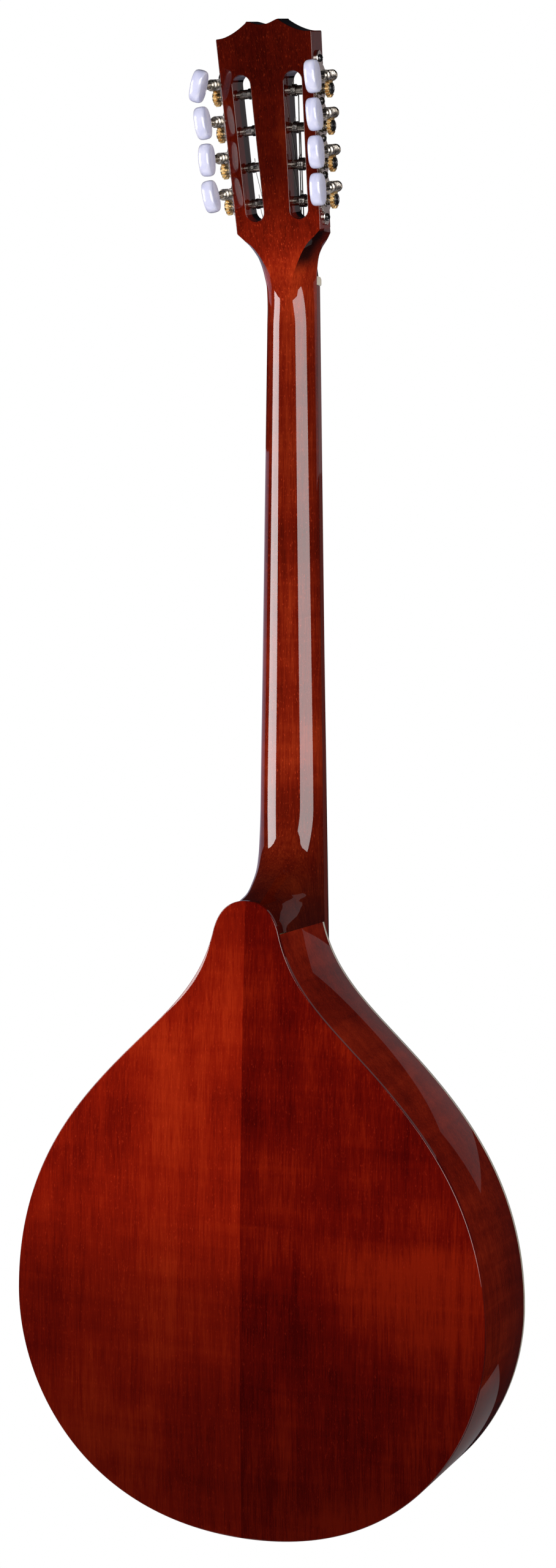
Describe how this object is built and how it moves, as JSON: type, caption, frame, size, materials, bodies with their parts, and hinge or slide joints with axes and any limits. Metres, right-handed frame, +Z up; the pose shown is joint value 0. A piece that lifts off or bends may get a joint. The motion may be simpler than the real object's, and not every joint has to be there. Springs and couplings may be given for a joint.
{
  "type": "mandolin",
  "caption": "Long-necked mandolin with a teardrop body, domed two-piece back, slotted headstock and geared tuning machines that turn its string rollers.",
  "frame": {"origin": "where the arms of a wall hanger hold the headstock, halfway through its thickness", "axes": "+Z up along the neck towards the headstock, -Y out of the soundboard, +X to the treble side"},
  "size_m": [0.328, 0.1017, 0.9775],
  "materials": {
    "red_maple": "high gloss red-brown stained maple",
    "dark_maple": "high gloss dark red-brown stained maple",
    "dark_hardwood": "oiled dark hardwood",
    "spruce": "satin amber spruce",
    "inner_wood": "bare",
    "bone": "polished cream",
    "pearl": "pearly bluish white",
    "nickel": "aged nickel plate",
    "brass": "dull brass",
    "string_steel": "bright wire"
  },
  "bodies": {
    "instrument": {"neck": "red_maple", "fingerboard": "dark_hardwood", "nut": "bone", "soundboard": "spruce", "back_bass": "red_maple", "back_treble": "red_maple", "rim_bass": "dark_maple", "rim_treble": "dark_maple", "top_binding": "bone", "top_lining": "inner_wood", "back_lining": "inner_wood", "neck_block": "inner_wood", "tail_block": "inner_wood", "top_brace": "inner_wood", "back_brace_lower": "inner_wood", "back_brace_upper": "inner_wood", "tuner_plate_bass": "nickel", "tuner_plate_treble": "nickel", "bridge": "dark_hardwood", "tailpiece": "nickel", "string_1": "string_steel", "string_2": "string_steel", "string_3": "string_steel", "string_4": "string_steel", "string_5": "string_steel", "string_6": "string_steel", "string_7": "string_steel", "string_8": "string_steel"},
    "tuner_bass_1": {"worm_bass_1": "nickel", "button_bass_1": "pearl"},
    "roller_bass_1": {"post_bass_1": "nickel", "gear_bass_1": "brass"},
    "tuner_bass_2": {"worm_bass_2": "nickel", "button_bass_2": "pearl"},
    "roller_bass_2": {"post_bass_2": "nickel", "gear_bass_2": "brass"},
    "tuner_bass_3": {"worm_bass_3": "nickel", "button_bass_3": "pearl"},
    "roller_bass_3": {"post_bass_3": "nickel", "gear_bass_3": "brass"},
    "tuner_bass_4": {"worm_bass_4": "nickel", "button_bass_4": "pearl"},
    "roller_bass_4": {"post_bass_4": "nickel", "gear_bass_4": "brass"},
    "tuner_treble_1": {"worm_treble_1": "nickel", "button_treble_1": "pearl"},
    "roller_treble_1": {"post_treble_1": "nickel", "gear_treble_1": "brass"},
    "tuner_treble_2": {"worm_treble_2": "nickel", "button_treble_2": "pearl"},
    "roller_treble_2": {"post_treble_2": "nickel", "gear_treble_2": "brass"},
    "tuner_treble_3": {"worm_treble_3": "nickel", "button_treble_3": "pearl"},
    "roller_treble_3": {"post_treble_3": "nickel", "gear_treble_3": "brass"},
    "tuner_treble_4": {"worm_treble_4": "nickel", "button_treble_4": "pearl"},
    "roller_treble_4": {"post_treble_4": "nickel", "gear_treble_4": "brass"}
  },
  "joints": [
    {"name": "button_turn_bass_1", "type": "hinge", "parent": "instrument", "child": "tuner_bass_1", "pos_m": [-0.0371, 0.00783, 0.03714], "axis": [0, 0.9785, -0.2062], "continuous": true},
    {"name": "roller_turn_bass_1", "type": "hinge", "parent": "instrument", "child": "roller_bass_1", "pos_m": [-0.02986, 0.00622, 0.02953], "axis": [0.9995, 0.0062, 0.0295], "continuous": true},
    {"name": "button_turn_bass_2", "type": "hinge", "parent": "instrument", "child": "tuner_bass_2", "pos_m": [-0.0378, 0.01257, 0.05964], "axis": [0, 0.9785, -0.2062], "continuous": true},
    {"name": "roller_turn_bass_2", "type": "hinge", "parent": "instrument", "child": "roller_bass_2", "pos_m": [-0.03056, 0.01096, 0.05202], "axis": [0.9995, 0.0062, 0.0295], "continuous": true},
    {"name": "button_turn_bass_3", "type": "hinge", "parent": "instrument", "child": "tuner_bass_3", "pos_m": [-0.03849, 0.01731, 0.08213], "axis": [0, 0.9785, -0.2062], "continuous": true},
    {"name": "roller_turn_bass_3", "type": "hinge", "parent": "instrument", "child": "roller_bass_3", "pos_m": [-0.03125, 0.0157, 0.07452], "axis": [0.9995, 0.0062, 0.0295], "continuous": true},
    {"name": "button_turn_bass_4", "type": "hinge", "parent": "instrument", "child": "tuner_bass_4", "pos_m": [-0.03918, 0.02205, 0.10463], "axis": [0, 0.9785, -0.2062], "continuous": true},
    {"name": "roller_turn_bass_4", "type": "hinge", "parent": "instrument", "child": "roller_bass_4", "pos_m": [-0.03195, 0.02044, 0.09701], "axis": [0.9995, 0.0062, 0.0295], "continuous": true},
    {"name": "button_turn_treble_1", "type": "hinge", "parent": "instrument", "child": "tuner_treble_1", "pos_m": [0.0371, 0.00783, 0.03714], "axis": [0, 0.9785, -0.2062], "continuous": true},
    {"name": "roller_turn_treble_1", "type": "hinge", "parent": "instrument", "child": "roller_treble_1", "pos_m": [0.02986, 0.00622, 0.02953], "axis": [0.9995, -0.0062, -0.0295], "continuous": true},
    {"name": "button_turn_treble_2", "type": "hinge", "parent": "instrument", "child": "tuner_treble_2", "pos_m": [0.0378, 0.01257, 0.05964], "axis": [0, 0.9785, -0.2062], "continuous": true},
    {"name": "roller_turn_treble_2", "type": "hinge", "parent": "instrument", "child": "roller_treble_2", "pos_m": [0.03056, 0.01096, 0.05202], "axis": [0.9995, -0.0062, -0.0295], "continuous": true},
    {"name": "button_turn_treble_3", "type": "hinge", "parent": "instrument", "child": "tuner_treble_3", "pos_m": [0.03849, 0.01731, 0.08213], "axis": [0, 0.9785, -0.2062], "continuous": true},
    {"name": "roller_turn_treble_3", "type": "hinge", "parent": "instrument", "child": "roller_treble_3", "pos_m": [0.03125, 0.0157, 0.07452], "axis": [0.9995, -0.0062, -0.0295], "continuous": true},
    {"name": "button_turn_treble_4", "type": "hinge", "parent": "instrument", "child": "tuner_treble_4", "pos_m": [0.03918, 0.02205, 0.10463], "axis": [0, 0.9785, -0.2062], "continuous": true},
    {"name": "roller_turn_treble_4", "type": "hinge", "parent": "instrument", "child": "roller_treble_4", "pos_m": [0.03195, 0.02044, 0.09701], "axis": [0.9995, -0.0062, -0.0295], "continuous": true}
  ],
  "couplings": [
    {"joint": "roller_turn_bass_1", "follows": "button_turn_bass_1", "ratio": 0.071429},
    {"joint": "roller_turn_bass_2", "follows": "button_turn_bass_2", "ratio": 0.071429},
    {"joint": "roller_turn_bass_3", "follows": "button_turn_bass_3", "ratio": 0.071429},
    {"joint": "roller_turn_bass_4", "follows": "button_turn_bass_4", "ratio": 0.071429},
    {"joint": "roller_turn_treble_1", "follows": "button_turn_treble_1", "ratio": 0.071429},
    {"joint": "roller_turn_treble_2", "follows": "button_turn_treble_2", "ratio": 0.071429},
    {"joint": "roller_turn_treble_3", "follows": "button_turn_treble_3", "ratio": 0.071429},
    {"joint": "roller_turn_treble_4", "follows": "button_turn_treble_4", "ratio": 0.071429}
  ]
}
